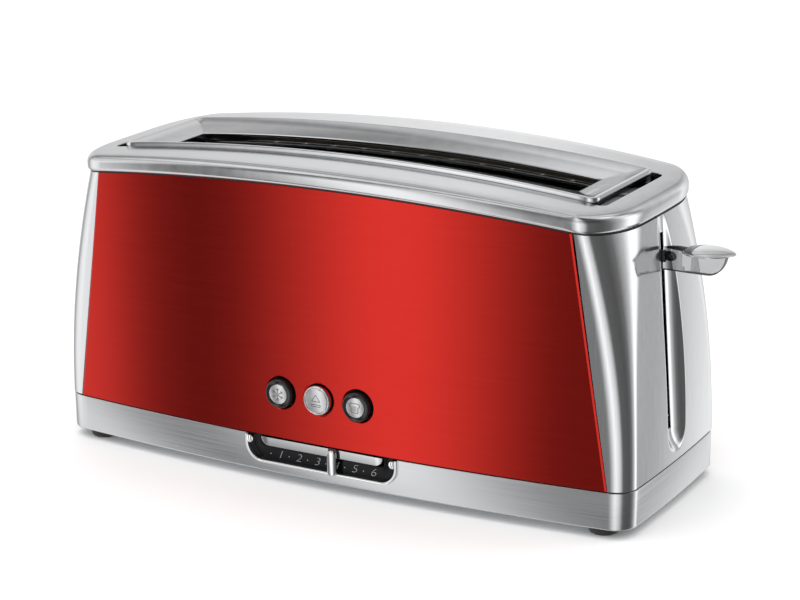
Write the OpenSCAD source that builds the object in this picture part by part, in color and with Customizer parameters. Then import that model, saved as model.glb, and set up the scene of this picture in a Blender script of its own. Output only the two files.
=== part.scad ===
// Long-slot pop up toaster, modelled as an assembly of separate parts.
// X runs along the length (lever at +X), the controls face -Y, Z is up and Z = 0 is under the feet.

/* [Body] */
// half of the base length along X
body_half = 200; // [198:0.5:202]
// half of the body depth at the middle of the front
depth_half = 78; // [77:0.5:79]
// height of the crown at the middle of the top frame
crown_z = 200; // [198:0.5:202]
// thickness of the steel end covers
cover_t = 1.5; // [1.2:0.1:2]
// thickness of the coloured front and rear panels
panel_t = 1; // [0.8:0.1:1.2]

/* [Slot] */
// half length of the bread slot
slot_half = 141; // [136:1:142]
// half width of the bread slot
slot_w = 16.5; // [16:0.5:18]

/* [Lever] */
// height of the lever arm's centre at rest
lever_z = 153.5; // [152:0.5:154]
// radius of the cap on the lever
cap_r = 16.5; // [14:0.5:16.5]

/* [Controls] */
// distance between button centres
button_pitch = 27; // [25:0.5:28]
// radius of each push button
button_r = 9.2; // [8.6:0.1:9.2]
// running clearance around each push button
button_gap = 0.08; // [0.05:0.01:0.1]
// position of the browning knob along X
knob_x = 9; // [-20:1:30]

/* [Parts] */
// which part to draw

/* [Hidden] */
$fn = 72;
big_fn = 1440;
bow_r = 1740;
end_r = 1100;
flare_r = 892;
flare_z = 20;
flare_x = body_half - flare_r;
arch_r = 1495;
rim_z = crown_z - 10.4;
floor_z = 29.8;
deck_z = 29;
mid_x = (body_half - 216 - cap_r) / 2;
screw_x = body_half - 13;
plate_x = 152;
board_y = 30;
guide_y = 15.6;
hinge_z = 44;
rod_x = 168;
rod_y = 16;
rod_r = 3;
spring_y = 30;
magnet_y = -31;
magnet_x = 169.2;
groove_x = body_half + 13.8;
groove_z = 49.6;
groove_r = 19.5;
groove_tilt = 3.8;
button_z = 59;
recess_half = 53.5;
recess_z = 11.5;

// corner centre of the bowed outline: r inside both the long bow and the end bow
function corner(a, b, r) =
    let (f = [0, bow_r - b], e = [a - end_r, 0])
    let (p = bow_r - r, q = end_r - r, d = norm(e - f), u = (e - f) / d)
    let (s = (p * p - q * q + d * d) / (2 * d), h = sqrt(p * p - s * s))
    f + s * u + h * [-u[1], u[0]];

// bowed rectangle with round corners, half length a, half depth b, corner radius r
module plan(a, b, r) {
    c = corner(a, b, r);
    nf = (c - [0, bow_r - b]) / norm(c - [0, bow_r - b]);
    ne = (c - [a - end_r, 0]) / norm(c - [a - end_r, 0]);
    w = [c, c + 60 * nf, c + 60 * (nf + ne), c + 60 * ne];
    difference() {
        intersection() {
            translate([0, bow_r - b]) circle(bow_r, $fn = big_fn);
            translate([0, b - bow_r]) circle(bow_r, $fn = big_fn);
            translate([a - end_r, 0]) circle(end_r, $fn = big_fn);
            translate([end_r - a, 0]) circle(end_r, $fn = big_fn);
        }
        for (sx = [-1, 1], sy = [-1, 1]) polygon([for (p = w) [sx * p[0], sy * p[1]]]);
    }
    for (sx = [-1, 1], sy = [-1, 1]) translate([sx * c[0], sy * c[1]]) circle(r);
}

// rectangle with round corners, half sizes a and b
module rrect(a, b, r) {
    square([2 * a, 2 * (b - r)], center = true);
    square([2 * (a - r), 2 * b], center = true);
    for (sx = [-1, 1], sy = [-1, 1]) translate([sx * (a - r), sy * (b - r)]) circle(r);
}

// the same with half width a, from z0 to z1 up the page
module rrect_from(a, z0, z1, r) {
    translate([0, (z0 + z1) / 2]) rrect(a, (z1 - z0) / 2, r);
}

// everything below the arched surface whose middle is at height z
module under_arch(z) {
    translate([0, 110, z - arch_r]) rotate([90, 0, 0]) cylinder(r = arch_r, h = 220, $fn = big_fn);
}

// right end of the body, flaring outward toward the base
module flared_end(a, b, r) {
    translate([flare_x, 0, flare_z])
        rotate([90, 0, 0])
            rotate([0, 0, -1])
                rotate_extrude(angle = 13, $fn = 1080)
                    translate([-flare_x, 0])
                        intersection() {
                            plan(a, b, r);
                            translate([130, -100]) square([100, 200]);
                        }
}

// upright wedge between the slanted side edges of the coloured panels
module panel_wedge(g) {
    translate([0, 100, 0])
        rotate([90, 0, 0])
            linear_extrude(200)
                polygon([[-186 - g, 26], [186 + g, 26], [159.5 + g, 200], [-159.5 - g, 200]]);
}

// puts the middle of the overall box, lever included, over the origin
module centred() {
    translate([mid_x, 0, 0]) children();
}

module slab(x0, y0, z0, x1, y1, z1) {
    translate([x0, y0, z0]) cube([x1 - x0, y1 - y0, z1 - z0]);
}

module rod_along_x(x0, x1, y, z, r) {
    translate([x0, y, z]) rotate([0, 90, 0]) cylinder(r = r, h = x1 - x0, $fn = 24);
}

module bore_along_y(x, y0, y1, z, r) {
    translate([x, y1, z]) rotate([90, 0, 0]) cylinder(r = r, h = y1 - y0);
}

// U shaped outline of the control recess, open at the top
module recess_shape(a, z0, z1, r) {
    intersection() {
        rrect_from(a, z0, z1 + r, r);
        translate([-a - 1, z0 - 1]) square([2 * a + 2, z1 - z0 + 1]);
    }
}

module recess_block(a, z0, z1, r, y0, y1) {
    translate([0, y1, 0]) rotate([90, 0, 0]) linear_extrude(y1 - y0) recess_shape(a, z0, z1, r);
}

// ---------- base ----------

module base_skirt() {
    color("silver") centred()
        difference() {
            union() {
                difference() {
                    translate([0, 0, 6]) linear_extrude(23) plan(body_half, depth_half, 12);
                    translate([0, 0, 5]) linear_extrude(22) plan(body_half - 2.2, depth_half - 2.2, 9.8);
                    translate([0, 0, 20]) linear_extrude(10) rrect(body_half - 28, depth_half - 20, 4);
                }
                intersection() {
                    recess_block(recess_half + 2, recess_z - 2, 29, 12, -76.6, -64);
                    slab(-70, -80, 9, 70, -60, 28.5);
                }
            }
            recess_block(recess_half, recess_z, 30, 12, -90, -66);
            slab(-33, -70, 26, 41, -57, 30);
            slab(-137, 60, 8.6, 137, 90, 24.2);
            bore_along_y(165, 60, 90, 17, 6.05);
            for (x = [-screw_x, screw_x], y = [-40, 40]) translate([x, y, 20]) cylinder(r = 1.6, h = 20, $fn = 24);
        }
}

module base_plate() {
    color("gray") centred()
        difference() {
            union() {
                translate([0, 0, 7.4]) linear_extrude(1.2) plan(body_half - 2.6, depth_half - 2.6, 9);
                for (x = [-screw_x, screw_x], y = [-40, 40]) translate([x, y, 8]) cylinder(r = 5, h = 18.8, $fn = 48);
                for (x = [-139.5, 138.3]) slab(x, -52, 8, x + 1.2, 56, 16);
            }
            for (x = [-screw_x, screw_x], y = [-40, 40]) translate([x, y, 5]) cylinder(r = 1.6, h = 40, $fn = 24);
            for (x = [-126, -114, 114, 126], y = [-40, 0, 40]) slab(x - 1.5, y - 12, 6, x + 1.5, y + 12, 10);
            for (x = [-178, 178], y = [-55, 55]) translate([x, y, 6]) cylinder(r = 3, h = 4);
        }
}

module feet() {
    color("black") centred()
        for (x = [-178, 178], y = [-55, 55])
            translate([x, y, 0]) {
                cylinder(r1 = 8.4, r2 = 9, h = 1);
                translate([0, 0, 1]) cylinder(r = 9, h = 6.4);
                translate([0, 0, 7]) cylinder(r = 3, h = 3.2);
            }
}

module base_screws() {
    color("dimgray") centred()
        for (x = [-screw_x, screw_x], y = [-40, 40])
            translate([x, y, 29.1]) {
                difference() {
                    translate([0, 0, 2.2]) cylinder(r = 3.2, h = 1.6, $fn = 36);
                    slab(-2.2, -0.4, 3, 2.2, 0.4, 5);
                    slab(-0.4, -2.2, 3, 0.4, 2.2, 5);
                }
                translate([0, 0, -14]) cylinder(r = 1.5, h = 16.4, $fn = 24);
            }
}

module lower_seam_gasket() {
    color("black") centred()
        translate([0, 0, 29])
            linear_extrude(0.8)
                difference() {
                    plan(body_half - 1.4, depth_half - 1.4, 10.6);
                    rrect(body_half - 21.5, depth_half - 13, 4);
                    translate([0, -78]) square([2 * recess_half + 5, 28], center = true);
                    for (x = [-screw_x, screw_x], y = [-40, 40]) translate([x, y]) circle(1.6, $fn = 24);
                }
}

// ---------- outer skin ----------

module panel_sheet(s) {
    intersection() {
        translate([0, 0, floor_z + 0.1])
            linear_extrude(180)
                intersection() {
                    difference() {
                        translate([0, s * (depth_half + 0.4 - bow_r)]) circle(bow_r, $fn = big_fn);
                        translate([0, s * (depth_half + 0.4 - bow_r - panel_t)]) circle(bow_r, $fn = big_fn);
                    }
                    translate([-190, s > 0 ? 60 : -82]) square([380, 22]);
                }
        panel_wedge(-0.2);
        under_arch(rim_z - 0.7);
    }
}

module front_panel() {
    color("firebrick") centred()
        difference() {
            union() {
                panel_sheet(-1);
                for (x = [-1, 0, 1]) bore_along_y(x * button_pitch, -depth_half + 0.2, -75.6, button_z, 12);
            }
            for (x = [-1, 0, 1]) bore_along_y(x * button_pitch, -90, -60, button_z, button_r + 0.55);
            for (x = [-1, 0, 1])
                difference() {
                    bore_along_y(x * button_pitch, -90, -depth_half, button_z, button_r + 1.4);
                    bore_along_y(x * button_pitch, -91, -60, button_z, button_r + 1);
                }
        }
}

module rear_panel() {
    color("firebrick") centred() panel_sheet(1);
}

// everything above the sloping top edge of the end covers
module over_cover() {
    translate([175, 0, rim_z - 11.05]) rotate([0, 6.62, 0]) translate([-60, -100, 0]) cube([130, 200, 60]);
}

module end_cover_left() {
    color("lightgray") centred()
        mirror([1, 0, 0])
            difference() {
                flared_end(body_half, depth_half, 17);
                difference() {
                    flared_end(body_half - cover_t, depth_half - cover_t, 17 - cover_t);
                    for (s = [-1, 1]) slab(178, s * 40 - 7, floor_z - 5, 220, s * 40 + 7, floor_z + 1.5);
                }
                slab(100, -90, 0, 220, 90, floor_z);
                over_cover();
                panel_wedge(0.2);
                for (y = [-40, 40]) translate([screw_x, y, 28]) cylinder(r = 1.6, h = 6, $fn = 24);
            }
}

// long hollow that the lever runs in, leaning inward toward its top
module groove(r) {
    translate([groove_x, 0, groove_z]) {
        rotate([0, -groove_tilt, 0]) cylinder(r = r, h = 140);
        sphere(r = r);
    }
}

module end_cover_right() {
    color("lightgray") centred()
        difference() {
            flared_end(body_half, depth_half, 17);
            difference() {
                flared_end(body_half - cover_t, depth_half - cover_t, 17 - cover_t);
                for (s = [-1, 1]) slab(178, s * 40 - 7, floor_z - 5, 220, s * 40 + 7, floor_z + 1.5);
                groove(groove_r + cover_t);
            }
            groove(groove_r);
            slab(180, -2.2, 51, 215, 2.2, 167);
            slab(100, -90, 0, 220, 90, floor_z);
            over_cover();
            panel_wedge(0.2);
            for (y = [-40, 40]) translate([screw_x, y, 28]) cylinder(r = 1.6, h = 6, $fn = 24);
        }
}

module upper_seam_gasket() {
    color("black") centred()
        difference() {
            intersection() {
                translate([0, 0, 160]) linear_extrude(40) plan(185.6, 78.2, 20.6);
                under_arch(rim_z);
            }
            under_arch(rim_z - 0.6);
            translate([0, 0, 150]) linear_extrude(60) rrect(176, depth_half - 14, 6);
        }
}

// ring outside an inset outline and above a lowered crown, cut away to roll the top edge over
module edge_step(inset, drop) {
    difference() {
        slab(-200, -90, 168, 200, 90, 215);
        translate([0, 0, 150]) linear_extrude(80) plan(187 - inset, 80.2 - inset, 22 - inset);
        under_arch(crown_z - drop);
    }
}

module top_rim() {
    color("silver") centred()
        difference() {
            intersection() {
                translate([0, 0, 160]) linear_extrude(50) plan(187, 80.2, 22);
                under_arch(crown_z);
            }
            under_arch(rim_z);
            difference() {
                intersection() {
                    translate([0, 0, 150]) linear_extrude(70) plan(184.6, 77.8, 19.6);
                    under_arch(crown_z - 2);
                }
                translate([0, 0, 140]) linear_extrude(90) rrect(171, 44.6, 6);
            }
            translate([0, 0, 130]) linear_extrude(110) rrect(169.5, 43, 4.5);
            edge_step(1.6, 1.8);
        }
}

// cross-section of the bezel swept along the arch; points are [distance across, height over the crown]
module swept_section(pts) {
    translate([0, 0, crown_z - arch_r])
        rotate([90, 0, 0])
            rotate([0, 0, 83])
                rotate_extrude(angle = 14, $fn = 1080)
                    polygon([for (p = pts) [arch_r + p[1], p[0]]]);
}

module bezel_end(side, over) {
    rotate([90, 0, 0])
        linear_extrude(2 * side, center = true)
            polygon([
                [slot_half - 1, crown_z - 13],
                [slot_half - 1, crown_z - 9.75 - over],
                [160, crown_z - 6.6 - over],
                [164, crown_z - 6.55 - over],
                [164, crown_z - 17]
            ]);
}

module bezel_body(lip, side, low, over, end_x) {
    intersection() {
        union() {
            swept_section([
                [-side, low],
                [-side, 2.5 - over],
                [-lip, 2.5 - over],
                [1 - slot_w, -3.14 - over],
                [slot_w - 1, -3.14 - over],
                [lip, 2.5 - over],
                [side, 2.5 - over],
                [side, low]
            ]);
            bezel_end(side, over);
            mirror([1, 0, 0]) bezel_end(side, over);
        }
        slab(-end_x, -60, 150, end_x, 60, 230);
    }
}

module slot_bezel() {
    color("silver") centred()
        difference() {
            bezel_body(39.4, 42.3, -8.6, 0, 163.5);
            difference() {
                bezel_body(38.6, 40.7, -20, 1.8, 161.9);
                slab(-slot_half - 1.8, -slot_w - 1.8, 150, slot_half + 1.8, slot_w + 1.8, 220);
            }
            slab(-slot_half, -slot_w, 150, slot_half, slot_w, 220);
        }
}

// ---------- inner frame ----------

module chassis_floor() {
    color("lightsteelblue") centred()
        difference() {
            union() {
                translate([0, 0, deck_z]) linear_extrude(1.2) rrect(177, 63.6, 4);
                for (y = [-64, 62.8]) slab(-150, y, deck_z, 150, y + 1.2, deck_z + 7);
            }
            slab(-135, -48, 20, 135, 48, 40);
            for (s = [-1, 1]) translate([rod_x, s * rod_y, 20]) cylinder(r = rod_r, h = 20, $fn = 48);
        }
}

module chassis_plate() {
    difference() {
        union() {
            slab(plate_x - 0.6, -58, deck_z + 1.2, plate_x + 0.6, 58, 181.2);
            slab(plate_x, -58, deck_z + 1.2, plate_x + 9, 58, deck_z + 2.4);
        }
        slab(plate_x - 2, -2.2, 40, plate_x + 2, 2.2, 176);
        for (y = [-guide_y, guide_y]) rod_along_x(plate_x - 5, plate_x + 5, y, hinge_z, 1.3);
        for (y = [-board_y, board_y], z = [65, 153]) slab(plate_x - 2, y - 0.5, z - 0.1, plate_x + 2, y + 0.5, z + 4.1);
        for (y = [-47, 47], z = [60, 110, 160]) rod_along_x(plate_x - 5, plate_x + 5, y, z, 2.4);
    }
}

module chassis_plate_left() {
    color("lightsteelblue") centred() mirror([1, 0, 0]) chassis_plate();
}

module chassis_plate_right() {
    color("lightsteelblue") centred() chassis_plate();
}

module reflector(s) {
    difference() {
        union() {
            slab(-151.2, s * 43.4 - 0.4, deck_z + 1.4, 151.2, s * 43.4 + 0.4, 176);
            slab(-151.2, s * 40 - 3.8, 175.2, 151.2, s * 40 + 3.8, 176);
        }
        for (x = [-100, 0, 100]) bore_along_y(x, -60, 60, 40, 2);
    }
}

module reflector_front() {
    color("silver") centred() reflector(-1);
}

module reflector_rear() {
    color("silver") centred() reflector(1);
}

module element_board(s) {
    slab(-138, s * board_y - 0.4, 44, 138, s * board_y + 0.4, 170);
    for (z = [65, 153]) slab(-153.4, s * board_y - 0.4, z, 153.4, s * board_y + 0.4, z + 4);
}

module element_board_front() {
    color("tan") centred() element_board(-1);
}

module element_board_rear() {
    color("tan") centred() element_board(1);
}

module element_wire(s) {
    for (i = [0:15])
        translate([0, s * board_y, 47 + 8 * i])
            difference() {
                cube([276.8, 1.6, 1.6], center = true);
                cube([276, 0.8, 3], center = true);
            }
}

module element_wire_front() {
    color("orangered") centred() element_wire(-1);
}

module element_wire_rear() {
    color("orangered") centred() element_wire(1);
}

module guide_rods() {
    color("gainsboro") centred() for (s = [-1, 1]) translate([rod_x, s * rod_y, deck_z]) cylinder(r = rod_r, h = 150.5, $fn = 48);
}

module rod_bracket() {
    color("lightsteelblue") centred()
        difference() {
            union() {
                slab(plate_x + 0.6, -24, 176.4, 176, 36, 178);
                slab(plate_x + 0.6, -24, 168, plate_x + 1.8, 36, 178);
                translate([rod_x, spring_y, 175.2]) cylinder(r = 4.6, h = 1.6, $fn = 36);
            }
            for (s = [-1, 1]) translate([rod_x, s * rod_y, 160]) cylinder(r = rod_r, h = 30, $fn = 48);
            slab(plate_x, -3, 160, plate_x + 1.9, 3, 176.2);
        }
}

module electromagnet() {
    color("dimgray") centred() {
        slab(magnet_x - 6.8, magnet_y - 7, deck_z + 1.2, magnet_x + 6.8, magnet_y + 7, deck_z + 2.8);
        translate([magnet_x, magnet_y, deck_z + 2]) cylinder(r = 2.6, h = 11.7, $fn = 48);
        for (x = [magnet_x - 6.8, magnet_x + 5.4]) slab(x, magnet_y - 5, deck_z + 2, x + 1.4, magnet_y + 5, deck_z + 13.7);
    }
}

module magnet_coil() {
    color("sienna") centred()
        translate([magnet_x, magnet_y, deck_z + 3])
            difference() {
                cylinder(r = 5, h = 8.6, $fn = 48);
                translate([0, 0, -1]) cylinder(r = 2.6, h = 12, $fn = 48);
            }
}

// ---------- controls ----------

module button_housing() {
    color("dimgray") centred()
        difference() {
            union() {
                slab(-62, -74.4, 46.5, 62, -68, 71.5);
                for (x = [-62, 56]) slab(x, -74.4, 29.8, x + 6, -65, 60);
                for (x = [-50, 46]) slab(x, -68, 48, x + 4, -61.4, 70);
            }
            for (x = [-1, 0, 1]) bore_along_y(x * button_pitch, -90, -50, button_z, button_r + button_gap);
        }
}

module control_board() {
    color("darkgreen") centred() slab(-54, -61.4, 38, 54, -59.8, 74);
}

module button_switches() {
    color("black") centred()
        for (x = [-1, 0, 1]) {
            slab(x * button_pitch - 3, -63.6, button_z - 3, x * button_pitch + 3, -61.4, button_z + 3);
        }
}

module browning_pot() {
    color("black") centred()
        difference() {
            slab(-38, -64, 15, 46, -58.2, 25.6);
            slab(-34, -61.9, 22.4, 42, -59.6, 30);
        }
}

module control_bezel() {
    color("gainsboro") centred()
        difference() {
            recess_block(recess_half - 0.05, recess_z + 0.05, 29, 12, -79, -67.6);
            recess_block(recess_half - 1.8, recess_z + 1.8, 40, 10.3, -90, -60);
        }
}

module scale_plate() {
    color("black") centred()
        difference() {
            recess_block(recess_half - 1.9, recess_z + 1.9, 29, 10.2, -75.6, -73.6);
            recess_block(recess_half - 10.6, 22.6, 40, 6, -90, -60);
        }
}

module control_ledge() {
    color("silver") centred()
        difference() {
            recess_block(recess_half - 10.7, 22.7, 29, 5.9, -77.4, -66.1);
            slab(-33, -90, 28.2, 41, -60, 30);
        }
}

module browning_knob() {
    color("gainsboro") centred()
        translate([knob_x, 0, 0]) {
            bore_along_y(0, -81.4, -79.4, 15, 3.2);
            bore_along_y(0, -81.4, -79.4, 25.4, 3.2);
            slab(-3.2, -81.4, 15, 3.2, -79.4, 25.4);
        }
}

module knob_arm() {
    color("dimgray") centred()
        translate([knob_x, 0, 0])
            difference() {
                slab(-2.6, -79.4, 20, 2.6, -60.2, 29.4);
                slab(-5, -78, 10, 5, -65.8, 28.5);
                slab(-5, -66, 10, 5, -61.4, 26.8);
                slab(-5, -66, 10, 5, -60, 23);
                slab(-5, -64.6, 28, 5, -60, 30);
            }
}

module push_button(i, cap) {
    x = i * button_pitch;
    difference() {
        union() {
            bore_along_y(x, -81, -66.9, button_z, button_r);
            bore_along_y(x, -67.4, -66.4, button_z, button_r + 1.2);
            bore_along_y(x, -81.6, -80.8, button_z, button_r - 0.7);
        }
        bore_along_y(x, -90, -80.6, button_z, cap);
    }
}

module button_left() {
    color("black") centred() push_button(-1, 6.4);
}

module button_middle() {
    color("black") centred() push_button(0, 7.9);
}

module button_right() {
    color("black") centred() push_button(1, 6.4);
}

module button_left_cap() {
    color("silver") centred() bore_along_y(-button_pitch, -82, -80.6, button_z, 6.4);
}

module button_middle_cap() {
    color("silver") centred() bore_along_y(0, -82, -80.6, button_z, 7.9);
}

module button_right_cap() {
    color("silver") centred() bore_along_y(button_pitch, -82, -80.6, button_z, 6.4);
}

module cord_gland() {
    color("black") centred()
        difference() {
            union() {
                bore_along_y(165, 64, 74, 17, 6);
                bore_along_y(165, 71.4, 74, 17, 8);
            }
            bore_along_y(165, 60, 90, 17, 3.75);
        }
}

module terminal_block() {
    color("ivory") centred()
        difference() {
            slab(152, 30, 8.6, 172, 50, 20);
            for (x = [157, 167]) translate([x, 40, 14]) cylinder(r = 2.4, h = 10, $fn = 36);
            for (x = [157, 167]) bore_along_y(x, 45, 60, 13, 2);
        }
}

// ---------- moving carriage ----------

module lever_arm() {
    color("gray") centred() slab(161.5, -1.1, lever_z - 3.5, 203, 1.1, lever_z + 3.5);
}

module lever_keel() {
    color("lightcyan") centred()
        difference() {
            union() {
                slab(196, -3, lever_z - 6, 210, 3, lever_z + 4.6);
                intersection() {
                    slab(209, -3, lever_z - 6, 228, 3, lever_z + 4.6);
                    bore_along_y(210, -10, 10, lever_z + 5.5, 16);
                }
                translate([216, 0, lever_z + 3.2]) cylinder(r = cap_r - 1.4, h = 1.4);
            }
            slab(190, -1.1, lever_z - 3.5, 203, 1.1, lever_z + 3.5);
        }
}

module lever_cap() {
    color("silver") centred() {
        translate([216, 0, lever_z + 4.6]) cylinder(r = cap_r, h = 1.6);
        translate([216, 0, lever_z + 6.2]) cylinder(r1 = cap_r - 1, r2 = cap_r - 6, h = 1.2);
    }
}

module carriage_bracket() {
    color("gray") centred()
        difference() {
            union() {
                slab(160, -40, 132, 161.5, 37, 165);
                for (s = [-1, 1]) translate([rod_x, s * rod_y, 140]) cylinder(r = 6.8, h = 20, $fn = 48);
                slab(160, spring_y - 4, 132, rod_x + 3, spring_y + 4, 133.5);
            }
            for (s = [-1, 1]) translate([rod_x, s * rod_y, 130]) cylinder(r = rod_r + 0.05, h = 40, $fn = 48);
        }
}

module bread_rack() {
    color("silver") centred() {
        slab(-158, -1.2, 148, 160, 1.2, 156);
        for (i = [-6:6]) slab(i * 21 - 0.8, -7, 151, i * 21 + 0.8, 7, 156.4);
    }
}

module armature() {
    color("dimgray") centred() slab(161.5, magnet_y - 6, 138.1, 177, magnet_y + 6, 140.1);
}

// closed-coil extension spring drawn as one continuous round wire
module return_spring() {
    turns = 14;
    steps = 14;
    sides = 6;
    n = turns * steps;
    z0 = 134.1;
    z1 = 174.6;
    color("gainsboro") centred()
        polyhedron(
            points = [for (i = [0:n], k = [0:sides - 1])
                let (t = 360 * i / steps, p = 360 * k / sides, q = 4 + 0.6 * cos(p))
                [rod_x + q * cos(t), spring_y + q * sin(t), z0 + (z1 - z0) * i / n + 0.6 * sin(p)]],
            faces = concat(
                [for (i = [0:n - 1], k = [0:sides - 1])
                    let (a = i * sides + k, b = i * sides + (k + 1) % sides)
                    [a, a + sides, b + sides, b]],
                [[for (k = [0:sides - 1]) k], [for (k = [0:sides - 1]) n * sides + sides - 1 - k]]
            )
        );
}

// ---------- crumb tray ----------

module crumb_tray() {
    color("silver") centred()
        difference() {
            slab(-136, -50, 9, 136, 68, 16.3);
            slab(-135.2, -49.2, 9.8, 135.2, 67.2, 20);
        }
}

module tray_handle() {
    color("black") centred() {
        translate([0, 0, 9.2])
            linear_extrude(14.4)
                intersection() {
                    translate([0, depth_half + 1 - bow_r]) circle(bow_r, $fn = big_fn);
                    translate([-136, 68]) square([272, 20]);
                }
        slab(-45, 72, 20, 45, 82, 22);
    }
}

// ---------- bread guides ----------

module bread_guide(s) {
    rod_along_x(-153, 153, s * guide_y, hinge_z, 1.25);
    rod_along_x(-137, 137, s * guide_y, 176, 1);
    for (i = [0:13]) translate([-130 + 20 * i, s * guide_y, hinge_z]) cylinder(r = 0.9, h = 132, $fn = 24);
}

module guide_front() {
    color("silver") centred() bread_guide(-1);
}

module guide_rear() {
    color("silver") centred() bread_guide(1);
}

base_skirt();
base_plate();
feet();
base_screws();
lower_seam_gasket();
front_panel();
rear_panel();
end_cover_left();
end_cover_right();
upper_seam_gasket();
top_rim();
slot_bezel();
chassis_floor();
chassis_plate_left();
chassis_plate_right();
reflector_front();
reflector_rear();
element_board_front();
element_board_rear();
element_wire_front();
element_wire_rear();
guide_rods();
rod_bracket();
electromagnet();
magnet_coil();
button_housing();
control_board();
button_switches();
browning_pot();
control_bezel();
scale_plate();
control_ledge();
cord_gland();
terminal_block();
lever_arm();
lever_keel();
lever_cap();
carriage_bracket();
bread_rack();
armature();
return_spring();
browning_knob();
knob_arm();
button_left();
button_middle();
button_right();
button_left_cap();
button_middle_cap();
button_right_cap();
crumb_tray();
tray_handle();
guide_front();
guide_rear();
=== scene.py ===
"""Looks of a long-slot pop up toaster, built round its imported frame.

Shapes are worked out in millimetres from the middle of the body and turned into metres by at().
"""

import math

import bmesh
import bpy
from mathutils import Matrix, Vector


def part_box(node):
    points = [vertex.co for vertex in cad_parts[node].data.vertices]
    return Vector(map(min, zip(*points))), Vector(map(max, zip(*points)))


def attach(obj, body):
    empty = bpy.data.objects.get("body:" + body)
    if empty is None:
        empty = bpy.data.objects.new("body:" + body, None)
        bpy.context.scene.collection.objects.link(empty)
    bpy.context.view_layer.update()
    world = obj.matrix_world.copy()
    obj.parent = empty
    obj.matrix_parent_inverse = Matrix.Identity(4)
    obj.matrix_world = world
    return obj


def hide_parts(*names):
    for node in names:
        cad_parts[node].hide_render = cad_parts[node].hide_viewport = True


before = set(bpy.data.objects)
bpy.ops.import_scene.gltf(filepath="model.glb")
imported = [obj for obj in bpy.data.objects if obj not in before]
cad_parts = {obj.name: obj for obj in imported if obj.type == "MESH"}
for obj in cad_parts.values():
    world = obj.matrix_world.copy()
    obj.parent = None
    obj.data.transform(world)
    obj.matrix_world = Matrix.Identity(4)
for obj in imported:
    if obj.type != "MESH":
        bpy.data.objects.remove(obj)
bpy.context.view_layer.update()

MM = 0.001
skirt_low, skirt_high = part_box("base_skirt")
MID = (skirt_low.x + skirt_high.x) / 2
HOUSING = "housing"

# driving dimensions in millimetres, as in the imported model
BODY_HALF = 200.0
DEPTH_HALF = 78.0
PANEL_DEPTH = DEPTH_HALF + 0.4
CROWN_Z = 200.0
BOW_R = 1740.0
END_R = 1100.0
ARCH_R = 1495.0
FLARE_R = 892.0
FLARE_Z = 20.0
FLARE_X = BODY_HALF - FLARE_R
RIM_Z = CROWN_Z - 10.4
FLOOR_Z = 29.9
BASE_LOW = skirt_low.z / MM
BASE_TOP = skirt_high.z / MM


def at(x, y, z):
    """A point given in millimetres from the middle of the body, in metres in the row frame."""
    return Vector((x * MM + MID, y * MM, z * MM))


def extent(node):
    """The two corners of a node's box, in millimetres from the middle of the body."""
    low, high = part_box(node)
    shift = Vector((MID, 0, 0))
    return (low - shift) / MM, (high - shift) / MM


def middle(node):
    """The middle of a node's box, in millimetres from the middle of the body."""
    low, high = extent(node)
    return (low + high) / 2


# ---------- meshes ----------


def put(name, data):
    """A new object in the scene."""
    thing = bpy.data.objects.new(name, data)
    bpy.context.scene.collection.objects.link(thing)
    return thing


def shape_object(name, shape):
    """An object from points in metres and faces, with its normals turned outward."""
    verts, faces = shape
    mesh = bpy.data.meshes.new(name)
    mesh.from_pydata([tuple(v) for v in verts], [], faces)
    mesh.validate()
    made = bmesh.new()
    made.from_mesh(mesh)
    bmesh.ops.remove_doubles(made, verts=made.verts, dist=2e-7)
    bmesh.ops.recalc_face_normals(made, faces=made.faces)
    made.to_mesh(mesh)
    made.free()
    return put(name, mesh)


def smooth(mesh, angle=35):
    """Smooth shading that keeps edges sharper than the angle in degrees."""
    mesh.shade_smooth()
    mesh.set_sharp_from_angle(angle=math.radians(angle))


def piece(name, shape, look, body=HOUSING, nodes=(), angle=35):
    """A visible piece in one look, riding on a body and standing in for the nodes named."""
    thing = shape_object(name, shape)
    smooth(thing.data, angle)
    thing.data.materials.append(MATERIALS[look])
    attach(thing, body)
    if nodes:
        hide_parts(*nodes)
    return thing


def face_outward(thing, way):
    """Turns the normals of an open sheet so that on the whole they point along a direction."""
    total = sum((face.normal * face.area for face in thing.data.polygons), Vector())
    if total.dot(Vector(way)) < 0:
        thing.data.flip_normals()


def loft(rings, around=True, along=False, ends=False):
    """Points and faces that join rings of equal length.

    around closes each ring, along joins the last ring to the first, and ends covers the end rings.
    """
    count = len(rings[0])
    verts = [p for ring in rings for p in ring]
    faces = []
    for i in range(len(rings) if along else len(rings) - 1):
        here, there = i * count, ((i + 1) % len(rings)) * count
        for k in range(count if around else count - 1):
            n = (k + 1) % count
            faces.append((here + k, here + n, there + n, there + k))
    if ends:
        faces.append(tuple(range(count)))
        faces.append(tuple(range(len(verts) - count, len(verts))))
    return verts, faces


def circle(steps):
    """Cosine and sine at equal steps round a circle."""
    angles = [2 * math.pi * k / steps for k in range(steps)]
    return [(math.cos(a), math.sin(a)) for a in angles]


def lathe(profile, place, axis="Y", steps=96, hollow=False):
    """Turns a list of (radius, height) round an axis through place; hollow joins its end to its start."""
    rings = []
    for radius, height in profile:
        ring = []
        for u, v in circle(steps):
            along_y, along_z = (height, radius * v) if axis == "Y" else (radius * v, height)
            ring.append(at(place[0] + radius * u, place[1] + along_y, place[2] + along_z))
        rings.append(ring)
    return loft(rings, along=hollow, ends=not hollow)


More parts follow.
